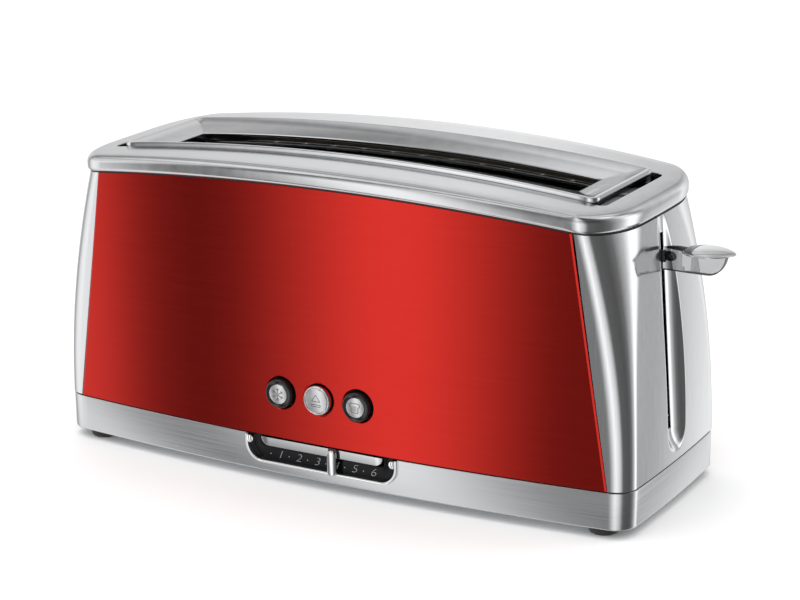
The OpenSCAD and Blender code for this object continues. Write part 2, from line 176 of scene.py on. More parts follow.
def rounded(before, corner, after, radius, steps):
    """Points of a fillet at a corner between two straight stretches of a profile."""
    a, c, b = Vector(before), Vector(corner), Vector(after)
    u, v = (a - c).normalized(), (b - c).normalized()
    half = math.acos(max(-1, min(1, u.dot(v)))) / 2
    reach = min(radius / math.tan(half), 0.48 * (a - c).length, 0.48 * (b - c).length)
    radius = reach * math.tan(half)
    centre = c + (u + v).normalized() * (radius / math.sin(half))
    start, end = c + u * reach - centre, c + v * reach - centre
    first = math.atan2(start.y, start.x)
    turn = math.atan2(start.x * end.y - start.y * end.x, start.dot(end))
    angles = [first + turn * i / steps for i in range(steps + 1)]
    return [(centre.x + radius * math.cos(f), centre.y + radius * math.sin(f)) for f in angles]


def fillet_profile(points, radii, steps=5):
    """A profile of 2-D points with its corners rounded by the radii given; 0 keeps a corner sharp."""
    done = []
    for i, (point, radius) in enumerate(zip(points, radii)):
        after = points[(i + 1) % len(points)]
        done += rounded(points[i - 1], point, after, radius, steps) if radius else [point]
    return done


def block(x0, y0, z0, x1, y1, z1):
    """Points and faces of a plain block."""
    corners = [at(x, y, z) for x in (x0, x1) for y in (y0, y1) for z in (z0, z1)]
    faces = [(0, 1, 3, 2), (4, 6, 7, 5), (0, 4, 5, 1), (2, 3, 7, 6), (0, 2, 6, 4), (1, 5, 7, 3)]
    return corners, faces


def apply_modifiers(thing):
    """Makes what the modifiers show the object's own mesh."""
    graph = bpy.context.evaluated_depsgraph_get()
    graph.update()
    mesh = bpy.data.meshes.new_from_object(thing.evaluated_get(graph), depsgraph=graph)
    thing.modifiers.clear()
    old = thing.data
    thing.data = mesh
    bpy.data.meshes.remove(old)


def cut(thing, shapes, angle=35):
    """Takes shapes out of a piece."""
    cutters = [shape_object("cutter", shape) for shape in shapes]
    for other in cutters:
        change = thing.modifiers.new("cut", "BOOLEAN")
        change.operation = "DIFFERENCE"
        change.solver = "EXACT"
        change.object = other
    apply_modifiers(thing)
    for other in cutters:
        bpy.data.objects.remove(other)
    smooth(thing.data, angle)


def soften(thing, width, segments=2, angle=40):
    """Rounds the sharp edges of a piece."""
    change = thing.modifiers.new("soften", "BEVEL")
    change.width = width * MM
    change.segments = segments
    change.limit_method = "ANGLE"
    change.angle_limit = math.radians(angle)
    change.harden_normals = True
    change.use_clamp_overlap = True


def thicken(thing, thickness, offset=-1, inside=None):
    """Gives a sheet its thickness, with another look on its inner face if one is named."""
    change = thing.modifiers.new("thicken", "SOLIDIFY")
    if inside:
        thing.data.materials.append(MATERIALS[inside])
        change.material_offset = 1
    change.thickness = thickness * MM
    change.offset = offset
    change.use_even_offset = False


# ---------- outlines ----------


def arch(x):
    """How far the arched top lies under its crown at x, as a negative height."""
    return math.sqrt(ARCH_R * ARCH_R - x * x) - ARCH_R


def bow_y(x, depth):
    """Distance of the bowed front from the middle plane at x."""
    return depth - BOW_R + math.sqrt(BOW_R * BOW_R - x * x)


def end_x(a, y):
    """x of the bowed end at y, where its middle is at a."""
    return a - END_R + math.sqrt(END_R**2 - y * y)


def flared_x(plan_x, z):
    """x at height z of the point whose x in the plan at the base is plan_x."""
    reach = plan_x - FLARE_X
    return FLARE_X + math.sqrt(reach * reach - (z - FLARE_Z) ** 2)


def plan_x_of(x, z):
    """The inverse of flared_x."""
    return FLARE_X + math.hypot(x - FLARE_X, z - FLARE_Z)


def soft_corner(a, b, along, across, turn, z=None):
    """A point of an elliptical corner, where turn runs from 0 at the end to 1 at the front.

    With a height z the corner follows the flare of the body, and without one it is the plain plan.
    """
    f = math.pi / 2 * turn
    y = b - across
    for _ in range(8):
        x = end_x(a, y)
        if z is not None:
            x = flared_x(x, z)
        x -= along * (1 - math.cos(f))
        y = bow_y(x if z is None else plan_x_of(x, z), b) - across * (1 - math.sin(f))
    return x, y


def all_round(quarter):
    """An outline of (x, y, outward u, outward v) from its quarter between the end and the front."""
    left = [(-x, y, -u, v) for x, y, u, v in reversed(quarter[:-1])]
    upper = quarter + left
    return upper + [(x, -y, u, -v) for x, y, u, v in reversed(upper[1:-1])]


def soft_outline(a, b, along, across, n_end=24, n_corner=16, n_bow=80):
    """A bowed rectangle whose corners are parts of ellipses."""
    end_y = soft_corner(a, b, along, across, 0.0)[1]
    front_x = soft_corner(a, b, along, across, 1.0)[0]
    end, side = n_end // 2, n_bow // 2
    places = [(end_x(a, end_y * i / end), end_y * i / end) for i in range(end)]
    places += [soft_corner(a, b, along, across, i / n_corner) for i in range(n_corner)]
    for i in range(side + 1):
        x = front_x * (1 - i / side)
        places.append((x, bow_y(x, b)))
    (second_x, second_y), (last_x, last_y) = places[1], places[-2]
    before = [(second_x, -second_y)] + places[:-1]
    after = places[1:] + [(-last_x, last_y)]
    quarter = []
    for (x, y), (x0, y0), (x1, y1) in zip(places, before, after):
        length = math.hypot(x1 - x0, y1 - y0)
        quarter.append((x, y, (y1 - y0) / length, (x0 - x1) / length))
    return all_round(quarter)


def boxed_outline(a, b, r, n_end=24, n_corner=16, n_bow=80):
    """The same count of points round a plain rectangle with round corners."""
    end, side = n_end // 2, n_bow // 2
    quarter = [(a, (b - r) * i / end, 1.0, 0.0) for i in range(end)]
    for i in range(n_corner):
        u, v = math.cos(math.pi / 2 * i / n_corner), math.sin(math.pi / 2 * i / n_corner)
        quarter.append((a - r + r * u, b - r + r * v, u, v))
    quarter += [((a - r) * (1 - i / side), b, 0.0, 1.0) for i in range(side + 1)]
    return all_round(quarter)


def ring_at(outline, inward, z, arched=False):
    """One ring of a loft: the outline moved inward, at height z or at z over the arch."""
    ring = []
    for x, y, u, v in outline:
        px, py = x - u * inward, y - v * inward
        ring.append(at(px, py, z + (arch(px) if arched else 0)))
    return ring


# ---------- materials ----------


def fill(owner, node, **values):
    """Sets a node's sockets and settings by name, with _ for a space; a socket given is linked."""
    for key, value in values.items():
        name = key.replace("_", " ")
        if isinstance(value, bpy.types.NodeSocket):
            owner.node_tree.links.new(value, node.inputs[name])
        elif name in node.inputs:
            node.inputs[name].default_value = value
        else:
            setattr(node, key, value)
    return node


def add(owner, kind, **values):
    """A new node of a material or world."""
    return fill(owner, owner.node_tree.nodes.new("ShaderNode" + kind), **values)


def shader(name, colour, metallic, roughness, **sockets):
    """A new material and its shader node."""
    material = bpy.data.materials.new(name)
    material.use_nodes = True
    node = material.node_tree.nodes["Principled BSDF"]
    base = {"Base_Color": (*colour, 1), "Metallic": metallic, "Roughness": roughness}
    return material, fill(material, node, **base, **sockets)


def place_by_object(material, stretch):
    """Object coordinates scaled per axis."""
    coords = add(material, "TexCoord").outputs["Object"]
    return add(material, "Mapping", Vector=coords, Scale=stretch).outputs["Vector"]


def noise(material, stretch, detail=4, rough=0.6):
    """Cloudy noise over the object, finer the larger the stretch."""
    place = place_by_object(material, stretch)
    cloud = add(material, "TexNoise", Vector=place, Scale=1.0, Detail=detail, Roughness=rough)
    return cloud.outputs["Fac"]


def vary(material, node, value, low, high, start=0.3, stop=0.7):
    """Lets the roughness follow a pattern between two levels."""
    spread = add(material, "MapRange", Value=value, From_Min=start, From_Max=stop, To_Min=low, To_Max=high)
    fill(material, node, Roughness=spread.outputs["Result"])


def tint(material, node, value, dark, light, start=0.3, stop=0.7):
    """Lets the colour follow a pattern between two colours."""
    ramp = add(material, "ValToRGB", Fac=value)
    first, last = ramp.color_ramp.elements
    first.position, last.position = start, stop
    first.color, last.color = (*dark, 1), (*light, 1)
    fill(material, node, Base_Color=ramp.outputs["Color"])


def bump(material, node, value, strength, distance):
    """Raises the surface where a pattern is light."""
    raised = add(material, "Bump", Strength=strength, Distance=distance, Height=value)
    fill(material, node, Normal=raised.outputs["Normal"])


def scaled_colour(colour, factor):
    """A colour made darker or lighter."""
    return tuple(min(1, c * factor) for c in colour)


def brushed(name, colour, roughness, stretch, strength, swing):
    """Brushed metal whose grain runs along the axis with the smallest stretch."""
    material, node = shader(name, colour, 1.0, roughness)
    grain = noise(material, stretch, detail=5)
    vary(material, node, grain, roughness - swing, roughness + swing)
    tint(material, node, grain, scaled_colour(colour, 0.94), scaled_colour(colour, 1.04))
    bump(material, node, grain, strength, 0.0002)
    return material


def grained(name, colour, roughness, scale, strength, metallic=0.0, specular=0.5):
    """Moulded or cast surface with a fine even grain."""
    material, node = shader(name, colour, metallic, roughness, Specular_IOR_Level=specular)
    grain = noise(material, (scale, scale, scale), detail=3)
    cloud = noise(material, (22, 22, 22), detail=4)
    vary(material, node, cloud, max(0.02, roughness * 0.85), min(1.0, roughness * 1.18))
    tint(material, node, cloud, scaled_colour(colour, 0.88), scaled_colour(colour, 1.1))
    bump(material, node, grain, strength, 0.0001)
    return material


def zinc():
    """Zinc-plated sheet with a faint spangle."""
    material, node = shader("zinc_sheet", (0.50, 0.52, 0.55), 1.0, 0.38)
    place = place_by_object(material, (160, 160, 160))
    spangle = add(material, "TexVoronoi", Vector=place, Scale=1.0).outputs["Distance"]
    vary(material, node, spangle, 0.30, 0.48, 0, 1)
    tint(material, node, spangle, (0.42, 0.44, 0.47), (0.56, 0.58, 0.60), 0, 1)
    bump(material, node, noise(material, (700, 700, 700)), 0.06, 0.0001)
    return material


def red_panel():
    """Brushed steel under a clear red lacquer; the grain runs along X."""
    coat = {"Coat_Weight": 0.12, "Coat_Roughness": 0.14}
    sheen = {"Anisotropic": 0.6, "Anisotropic_Rotation": 0.25}
    material, node = shader("red_lacquered_steel", (0.48, 0.019, 0.013), 1.0, 0.16, **coat, **sheen)
    grain = noise(material, (28, 60, 2600), detail=5, rough=0.65)
    vary(material, node, grain, 0.14, 0.18)
    tint(material, node, grain, (0.455, 0.016, 0.011), (0.505, 0.022, 0.015))
    bump(material, node, grain, 0.03, 0.00006)
    return material


def mica():
    """Layered mica sheet."""
    material, node = shader("mica_sheet", (0.55, 0.42, 0.26), 0.0, 0.45)
    flakes = noise(material, (90, 90, 160), detail=6, rough=0.75)
    tint(material, node, flakes, (0.16, 0.12, 0.075), (0.30, 0.24, 0.16))
    bump(material, node, flakes, 0.25, 0.0002)
    return material


def winding():
    """Enamelled copper winding with its turns."""
    material, node = shader("copper_winding", (0.50, 0.19, 0.06), 0.9, 0.3)
    place = place_by_object(material, (1, 1, 700))
    wave = add(material, "TexWave", bands_direction="Z", Vector=place, Scale=1.0, Distortion=0.4)
    turns = wave.outputs["Fac"]
    tint(material, node, turns, (0.30, 0.09, 0.03), (0.60, 0.26, 0.10))
    bump(material, node, turns, 0.6, 0.0003)
    return material


def acrylic(name, colour):
    """Smoky see-through acrylic."""
    material, node = shader(name, colour, 0.0, 0.04, Transmission_Weight=1.0, IOR=1.49)
    vary(material, node, noise(material, (140, 140, 140), detail=2), 0.02, 0.07)
    return material


# every look by its short name
CAST = (0.60, 0.605, 0.615)
EVEN = (90, 90, 90)
FINE = (300, 300, 300)
MATERIALS = {
    "cover": brushed("satin_end_cover", (0.62, 0.625, 0.635), 0.12, (1400, 1400, 20), 0.006, 0.02),
    "base": brushed("satin_base", (0.58, 0.585, 0.595), 0.20, (14, 14, 1400), 0.015, 0.03),
    "rim": brushed("satin_top_frame", CAST, 0.15, EVEN, 0.004, 0.02),
    "bezel": brushed("satin_slot_bezel", CAST, 0.12, EVEN, 0.004, 0.02),
    "chrome": brushed("chrome_trim", (0.80, 0.805, 0.81), 0.07, (60, 60, 60), 0.004, 0.03),
    "button_cap": brushed("button_cap_metal", (0.62, 0.62, 0.63), 0.22, FINE, 0.01, 0.03),
    "bright": brushed("bright_steel", (0.62, 0.62, 0.63), 0.25, (20, 900, 900), 0.05, 0.05),
    "inlay": brushed("lever_inlay", (0.13, 0.13, 0.137), 0.20, FINE, 0.004, 0.03),
    "red": red_panel(),
    "zinc": zinc(),
    "rubber": grained("black_rubber", (0.018, 0.018, 0.019), 0.62, 900, 0.12),
    "plastic": grained("black_plastic", (0.022, 0.022, 0.024), 0.42, 1800, 0.10),
    "gloss": grained("black_gloss", (0.006, 0.006, 0.007), 0.07, 120, 0.004),
    "band": grained("scale_black", (0.004, 0.004, 0.005), 0.16, 120, 0.004, specular=0.16),
    "ink": grained("scale_ink", (0.27, 0.275, 0.28), 0.45, 2500, 0.03),
    "etch": grained("etched_grey", (0.10, 0.10, 0.11), 0.45, 2500, 0.05, metallic=0.5),
    "ivory": grained("ivory_plastic", (0.72, 0.66, 0.50), 0.45, 900, 0.08),
    "board": grained("board_green", (0.02, 0.14, 0.06), 0.35, 500, 0.05),
    "dark": grained("dark_steel", (0.055, 0.055, 0.06), 0.38, 700, 0.10, metallic=0.9),
    "wire": grained("heater_ribbon", (0.16, 0.13, 0.115), 0.5, 1500, 0.1, metallic=0.85),
    "mica": mica(),
    "copper": winding(),
    "acrylic": acrylic("smoky_acrylic", (0.40, 0.405, 0.41)),
    # painted shade: a dark copy of the smoky acrylic for the rims of the lever blade, standing in for the
    # darkness its edges show
    "acrylic_painted_rim_shade": acrylic("smoky_acrylic_painted_rim_shade", (0.05, 0.05, 0.053)),
}


# ---------- base ----------

# the control recess: half width, lowest point and corner radius
RECESS = (52.6, 12.4, 11.2)
BUTTONS = ("left", "middle", "right")


def u_path(half, low, high, radius, steps=14):
    """The U of the control recess as points and inward normals, from the top left to the top right."""
    straight, flat = 6, 10
    left = [(-half, high + (low + radius - high) * i / straight, 1.0, 0.0) for i in range(straight)]
    for i in range(steps + 1):
        u, v = math.cos(math.pi / 2 * i / steps), math.sin(math.pi / 2 * i / steps)
        left.append((-half + radius * (1 - u), low + radius * (1 - v), u, v))
    bottom = [(-half + radius + 2 * (half - radius) * i / flat, low, 0.0, 1.0) for i in range(1, flat)]
    right = [(-x, z, -u, v) for x, z, u, v in reversed(left)]
    return left + bottom + right


def u_prism(half, low, radius, high, y0, y1):
    """A closed block with the outline of the recess."""
    path = u_path(half, low, high, radius)
    return loft([[at(x, y, z) for x, z, _, _ in path] for y in (y0, y1)], ends=True)


def u_bar(path, section):
    """A bar swept along the U, from a section of (distance inward, y)."""
    return loft([[at(x + u * d, y, z + v * d) for d, y in section] for x, z, u, v in path], ends=True)


def build_base():
    """The skirt, with an inward lip and the openings for the controls, the tray and the cord."""
    wall, lip = 4.0, 2.2
    profile = [(lip, BASE_LOW), (0, BASE_LOW), (0, BASE_TOP), (wall, BASE_TOP)]
    profile += [(wall, BASE_TOP - 2), (lip, BASE_TOP - 2)]
    points = fillet_profile(profile, [0, 1.2, 0.7, 0, 0, 0])
    outline = soft_outline(BODY_HALF, DEPTH_HALF, along=12, across=12)
    shell = loft([ring_at(outline, d, z) for d, z in points], along=True)
    base = piece("base_shell", shell, "base", nodes=["base_skirt"])
    tray_low, tray_high = extent("tray_handle")
    half = (tray_high.x - tray_low.x) / 2 + 1
    tray = block(-half, 60, tray_low.z - 0.6, half, 95, tray_high.z + 0.6)
    gland = lathe([(6.1, -12), (6.1, 14)], middle("cord_gland"), steps=48)
    cut(base, [u_prism(*RECESS, BASE_TOP + 3, -95, -60), tray, gland])


def build_recess_back():
    """The dark plate behind the scale, with its top below the foot of the knob's arm."""
    half, low, radius = RECESS
    gap, top, front, back = 0.2, 26.6, -66.2, -64.4
    shape = u_prism(half - gap, low + gap, radius - gap, top, front, back)
    soften(piece("recess_back", shape, "plastic"), 0.3)


def build_control_bezel():
    """The bright U round the scale, and the two round nubs at its ends."""
    low, high = extent("control_bezel")
    half, front, back = high.x, low.y, high.y
    path = u_path(half, low.z, BASE_TOP - 0.3, 12, steps=24)
    band = [(0, back), (0, front), (1.9, front), (1.9, back)]
    section = fillet_profile(band, [0, 0.75, 0.85, 0], 6)
    piece("control_bezel_trim", u_bar(path, section), "chrome", nodes=["control_bezel"])
    nub = [(0.1, -1.984), (1.6, -1.922), (2.3, -1.55), (2.55, -0.868), (2.6, 0), (2.6, 1.86)]
    for side, x in (("left", 3.1 - half), ("right", half - 3.1)):
        piece(f"control_bezel_nub_{side}", lathe(nub, (x, front + 1.8, BASE_TOP - 3.2), steps=40), "chrome")


def build_scale():
    """The black scale with its six digits and the dots between them."""
    low, high = extent("scale_plate")
    width, front, back = 8.7, low.y, high.y
    path = u_path(high.x, low.z, BASE_TOP - 0.2, 10.2, steps=20)
    band = [(0, back), (0, front), (width, front), (width, back)]
    section = fillet_profile(band, [0, 0.3, 0.6, 0], 3)
    piece("scale_band", u_bar(path, section), "band", nodes=["scale_plate"])
    first_x, pitch, digit_z, size = -30.4, 13.15, low.z + 4.1, 7.56
    dot = [(0.05, -0.06), (0.34, -0.06), (0.4, 0.0), (0.4, 0.08)]
    for number in range(1, 7):
        x = first_x + pitch * (number - 1)
        lettering(f"scale_digit_{number}", str(number), (x, front - 0.04, digit_z), size)
        spot = (x - pitch / 2, front - 0.05, digit_z - 0.2)
        piece(f"scale_dot_{number}", lathe(dot, spot, steps=20), "ink")


def lettering(name, text, place, size):
    """One digit of the browning scale, as a thin raised print."""
    curve = bpy.data.curves.new(name, "FONT")
    curve.body = text
    curve.size = size * MM
    curve.shear = 0.32
    curve.extrude = 0.04 * MM
    curve.offset = -0.17 * MM
    curve.resolution_u = 6
    curve.align_x = "CENTER"
    curve.align_y = "CENTER"
    flat = put(name + "_curve", curve)
    graph = bpy.context.evaluated_depsgraph_get()
    mesh = bpy.data.meshes.new_from_object(flat.evaluated_get(graph), depsgraph=graph)
    bpy.data.objects.remove(flat)
    mesh.name = name
    wide = Matrix.Diagonal((1.18, 1, 1, 1))
    mesh.transform(Matrix.Translation(at(*place)) @ Matrix.Rotation(math.pi / 2, 4, "X") @ wide)
    mesh.materials.clear()
    mesh.materials.append(MATERIALS["ink"])
    thing = put(name, mesh)
    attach(thing, HOUSING)


def build_ledge():
    """Silver shelf inside the scale; the knob's arm slides over its top."""
    low, high = extent("control_ledge")
    top, radius = 28.2, 5.3
    path = u_path(high.x, low.z, top, radius)
    face = [(radius - 0.1, low.y + 0.02), (0, low.y + 0.12), (0, high.y)]
    insets = fillet_profile(face, [0, 0.5, 0])
    rings = [[at(x + u * d, y, z + v * d) for x, z, u, v in path] for d, y in insets]
    piece("control_shelf", loft(rings, ends=True), "bezel", nodes=["control_ledge"])


def build_feet():
    """Four round rubber feet, from a profile of (radius, height)."""
    profile = [(0.1, 0), (7.4, 0), (8.2, 0.25), (8.7, 0.9), (9.0, 2.0)]
    profile += [(9.0, 5.2), (8.6, 6.2), (7.6, 7.2), (0.1, 7.3)]
    for across, x in (("left", -178), ("right", 178)):
        for along, y in (("front", -55), ("rear", 55)):
            foot = piece(f"foot_{across}_{along}", lathe(profile, (x, y, 0), "Z", 64), "rubber")
            if x < 0 and y < 0:
                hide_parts("feet")


# ---------- outer skin ----------


def panel_edge_x(z, gap):
    """Half width of the coloured panel at height z."""
    return 186 + gap - (z - 26) * 26.5 / 174


def build_panel(side, node):
    """One coloured panel, bowed in plan, with slanted ends turned back a little and an arched top."""
    columns, rows = 140, 48
    turned, back = 1.1, 0.5
    low, high = FLOOR_Z, RIM_Z - 0.75
    rings = []
    for j in range(rows + 1):
        t = j / rows
        ring = []
        for i in range(columns + 1):
            at_end = i in (0, columns)
            s = 2 * (i - 1) / (columns - 2) - 1
            z = low + t * (high - low)
            for _ in range(4):
                flat_half = panel_edge_x(z, -0.2) - turned
                x = math.copysign(flat_half + turned, s) if at_end else s * flat_half
                z = low + t * (high + arch(x) - low)
            ring.append(at(x, side * (bow_y(x, PANEL_DEPTH) - (back if at_end else 0.0)), z))
        rings.append(ring)
    panel = piece(node + "_sheet", loft(rings, around=False), "red", nodes=[node], angle=20)
    face_outward(panel, (0, side, 0))
    thicken(panel, 1.0, inside="dark")
    return panel


def build_front_panel():
    """The coloured panel with the three holes for the buttons."""
    panel = build_panel(-1, "front_panel")
    apply_modifiers(panel)
    spots = [middle(f"button_{side}") for side in BUTTONS]
    hole = [(10.9, -12), (10.9, 12)]
    cut(panel, [lathe(hole, (spot.x, -DEPTH_HALF, spot.z), steps=72) for spot in spots], 20)
    soften(panel, 0.3, 3, 50)


def build_dimple(spot, number):
    """The pressed ring round a button, where the sheet dips toward the hole."""
    profile = [(11.15, 0.3), (11.0, 0.03), (10.7, 0.08), (10.4, 0.2)]
    profile += [(10.12, 0.4), (9.92, 0.7), (9.8, 1.1), (9.8, 1.6)]
    rings = []
    for radius, depth in profile:
        places = [(spot.x + radius * u, spot.z + radius * v) for u, v in circle(72)]
        rings.append([at(x, depth - bow_y(x, PANEL_DEPTH), z) for x, z in places])
    piece(f"button_dimple_{number}", loft(rings), "red")


# the lever groove: where its leaning axis starts, its radius, its round lower end and its tilt
GROOVE_X = BODY_HALF + 13.8
GROOVE_R = 19.5
GROOVE_LOW = 49.6
GROOVE_TILT = math.radians(3.8)
# the slot that the lever runs in
SLOT_LOW, SLOT_HIGH = 48.2, 167.0
# distance from the middle where the finely divided part of an end cover stops
FACE_EDGE = 20.0


def groove_depth(x, y, z):
    """How far the lever groove pushes the end cover in, with a soft edge."""
    rise = z - GROOVE_LOW
    if rise < 0:
        across = GROOVE_R**2 - y * y - rise * rise
        axis = GROOVE_X
    else:
        across = (GROOVE_R**2 - y * y) / math.cos(GROOVE_TILT) ** 2
        axis = GROOVE_X - rise * math.tan(GROOVE_TILT)
    if across <= 0:
        return 0.0
    depth = x - axis + math.sqrt(across)
    soft = 0.5
    if abs(depth) > soft:
        return max(0.0, depth)
    return (depth + soft) ** 2 / (4 * soft)


def cover_top(x):
    """Height of the sloping top edge of the end covers."""
    return RIM_Z - 11.15 - (x - 175) * math.tan(math.radians(6.62))


def cover_corner(z):
    """How far the corner of an end cover reaches along the front and across the end at height z."""
    rise = max(0.0, (z - 30) / 148)
    return 11 + 8 * rise**1.6, 11 + 31 * rise**2.6


def cover_point(kind, value, t):
    """x, y and z of a point of an end cover at a share t of its height, on one of its four stretches."""
    low = FLOOR_Z - 0.05
    z = low + t * (cover_top(180) - low)
    for _ in range(4):
        corner = (BODY_HALF, DEPTH_HALF, *cover_corner(z))
        if kind == "corner":
            x, y = soft_corner(*corner, value, z)
        elif kind == "flat":
            x = soft_corner(*corner, 1.0, z)[0]
            x += (panel_edge_x(z, 0.2) - x) * value
            y = bow_y(plan_x_of(x, z), DEPTH_HALF)
        else:
            y = value
            if kind == "side":
                y = FACE_EDGE + (soft_corner(*corner, 0.0, z)[1] - FACE_EDGE) * value
            x = flared_x(end_x(BODY_HALF, y), z)
        z = low + t * (cover_top(x) - low)
    return x, y, z


def build_cover(side, node, grooved):
    """One end cover, swept down from the plan outline of its end, with the lever groove if it has one."""
    rows = 150
    half = [("end", y) for y in ((2.2, 2.4, 2.6, 3.0) if grooved else (0.0, 1.0, 2.0, 2.6))]
    half += [("end", 2.6 + 0.55 * i) for i in range(1, 31)]
    half += [("side", i / 13) for i in range(1, 13)]
    half += [("corner", i / 22) for i in range(23)]
    half += [("flat", i / 6) for i in range(1, 7)]
    columns = [(-1, stretch) for stretch in reversed(half)] + [(1, stretch) for stretch in half]
    rings = []
    for j in range(rows + 1):
        ring = []
        for sign, stretch in columns:
            x, y, z = cover_point(*stretch, j / rows)
            inward = groove_depth(x, y, z) if grooved else 0.0
            ring.append(at(side * (x - inward), sign * y, z))
        rings.append(ring)
    verts, faces = loft(rings, around=False)

    def in_slot(face):
        """Whether a face lies in the slot that the lever runs in."""
        z = (verts[face[1]].z + verts[face[2]].z) / 2 / MM
        return face[0] % len(columns) == len(half) - 1 and SLOT_LOW < z < SLOT_HIGH

    if grooved:
        faces = [face for face in faces if not in_slot(face)]
    cover = piece(node + "_shell", (verts, faces), "cover", nodes=[node], angle=60)
    face_outward(cover, (side, 0, 0))
    thicken(cover, 1.4, inside="dark")
    soften(cover, 0.25, 2, 60)


def build_rim():
    """Cast top frame: a rounded outer band, a flat arched top and the opening for the bezel."""
    band, lip, reach = CROWN_Z - RIM_Z, 1.2, 12
    outline = soft_outline(187, 80.2, along=22, across=44.5)
    opening = boxed_outline(169.5, 43, 4.5)
    outer = fillet_profile([(6, -band), (0, -band), (0, 0), (reach, 0)], [0, 2.6, 6.2, 0], 10)
    rings = [ring_at(outline, d, CROWN_Z + z, True) for d, z in outer]
    for mix in (0.33, 0.66):
        ring = []
        for (x0, y0, u0, v0), (x1, y1, u1, v1) in zip(outline, opening):
            start, end = Vector((x0 - u0 * reach, y0 - v0 * reach)), Vector((x1 + u1 * lip, y1 + v1 * lip))
            x, y = start.lerp(end, mix)
            ring.append(at(x, y, CROWN_Z + arch(x)))
        rings.append(ring)
    inner = fillet_profile([(-lip, 0), (0, 0), (0, -12)], [0, 0.9, 0])
    rings += [ring_at(opening, d, CROWN_Z + z, True) for d, z in inner]
    piece("top_frame", loft(rings, along=True), "rim", nodes=["top_rim"])


def build_upper_seam():
    """The thin dark strip that shows under the top frame."""
    seam = soft_outline(185.6, 78.2, along=21, across=43.5)
    width, depth = 7, 0.6
    profile = [(0, -depth), (0, 0), (width, 0), (width, -depth), (0, -depth)]
    rings = [ring_at(seam, d, RIM_Z + z, True) for d, z in profile]
    piece("upper_seam_strip", loft(rings), "rubber", nodes=["upper_seam_gasket"])


def mitre_places(outline):
    """Where the four mitres are in an outline: the points furthest along its diagonals."""
    places = []
    for sx in (-1, 1):
        for sy in (-1, 1):
            places.append(max(range(len(outline)), key=lambda i: sx * outline[i][0] + sy * outline[i][1]))
    return places


def build_bezel():
    """Raised insert round the bread slot with sloping, mitred flanges."""
    # half length, half width, lift over the arch and corner radius, from the outside in
    levels = (
        (163.5, 42.3, -8.0, 6.5),
        (163.5, 42.3, 1.9, 6.5),
        (163.3, 42.1, 2.35, 6.3),
        (162.9, 41.7, 2.45, 5.9),
        (161.0, 40.0, 2.45, 4.0),
        (160.5, 39.6, 2.35, 3.5),
        (160.1, 39.2, 2.1, 3.1),
        (151.5, 28.6, -0.45, 1.5),
        (142.2, 17.8, -2.95, 0.4),
        (141.4, 16.9, -3.25, 0.3),
        (141.0, 16.5, -3.8, 0.2),
        (141.0, 16.5, -10.5, 0.2),
    )
    outlines = [boxed_outline(a, b, radius, 20, 8, 72) for a, b, _, radius in levels]
    rings = [ring_at(outline, 0, CROWN_Z + level[2], True) for outline, level in zip(outlines, levels)]
    bezel = piece("slot_surround", loft(rings), "bezel", nodes=["slot_bezel"])
    width = len(outlines[0])
    mitres = mitre_places(outlines[0])
    for edge in bezel.data.edges:
        first, last = sorted(edge.vertices)
        if last - first == width and first % width in mitres:
            edge.use_edge_sharp = True
    thicken(bezel, 1.2)


# ---------- buttons ----------

# how far the domed caps sit behind the front of their nodes
CAP_LIFT = 0.04


def cap_sag(r, radius):
    """How far the domed cap of a button falls back at a distance from its middle."""
    return 0.5 * (r / radius) ** 2


def build_button(node, body, radius, look):
    """A button's ring and domed cap; returns the middle and front of the cap."""
    spot = middle(node)
    front, back = extent(node + "_cap")[0].y, extent(node)[1].y
    edge = [(radius, front + 1.2), (radius + 0.2, front + 0.75), (8.5, front + 0.35), (9.2, front + 1.3)]
    profile = fillet_profile([*edge, (9.2, back)], [0, 0.2, 0.7, 0.9, 0])
    place = (spot.x, 0, spot.z)
    piece(node + "_body", lathe(profile, place), look, body, [node])
    dome = [(0.05, front + CAP_LIFT)]
    for i in range(1, 11):
        r = radius * 0.92 * i / 10
        dome.append((r, front + CAP_LIFT + cap_sag(r, radius)))
    dome += [(radius * 0.975, front + 1.0), (radius, front + 1.2), (radius, front + 1.4)]
    piece(node + "_cap", lathe(dome, place), "button_cap", body, [node + "_cap"])
    return spot, front


def stroke(points, width, cap, name, closed=False):
    """A thin raised line on a button's domed cap, through 2-D points given from its middle."""
    place, y, radius, body = cap
    corners = [Vector(p) for p in points]
    ends = corners[1:] + (corners[:1] if closed else [])
    path = []
    for p, q in zip(corners, ends):
        steps = max(1, round((q - p).length / 0.8))
        path += [p.lerp(q, k / steps) for k in range(steps)]
    if not closed:
        path.append(corners[-1])
    count = len(path)
    rings = []
    for i, p in enumerate(path):
        before = path[i - 1] if i or closed else p
        after = path[(i + 1) % count] if i < count - 1 or closed else p
        way = (after - before).normalized()
        aside = Vector((-way.y, way.x)) * width / 2
        ring = []
        for spot, depth in ((p + aside, 0.3), (p + aside, 0.0), (p - aside, 0.0), (p - aside, 0.3)):
            ring.append(at(place.x + spot.x, y + depth + cap_sag(spot.length, radius), place.z + spot.y))
        rings.append(ring)
    piece(name, loft(rings, along=closed, ends=not closed), "etch", body)


def snowflake(cap):
    """Six arms, each with a fork, for frozen bread."""
    for arm in range(6):
        a = math.pi / 3 * arm + math.pi / 6
        way = Vector((math.cos(a), math.sin(a)))
        side = Vector((-way.y, way.x))
        stroke([way * 0.3, way * 4.1], 0.42, cap, f"icon_flake_arm_{arm}")
        fork = [way * 3.6 + side * 1.0, way * 2.5, way * 3.6 - side * 1.0]
        stroke(fork, 0.36, cap, f"icon_flake_fork_{arm}")


def eject_mark(cap):
    """A triangle over a bar."""
    stroke([(-2.9, -0.2), (2.9, -0.2), (0, 3.9)], 0.4, cap, "icon_eject_triangle", closed=True)
    bar = [(-2.9, -2.2), (2.9, -2.2), (3.2, -2.8), (2.9, -3.4), (-2.9, -3.4), (-3.2, -2.8)]
    stroke(bar, 0.36, cap, "icon_eject_bar", closed=True)


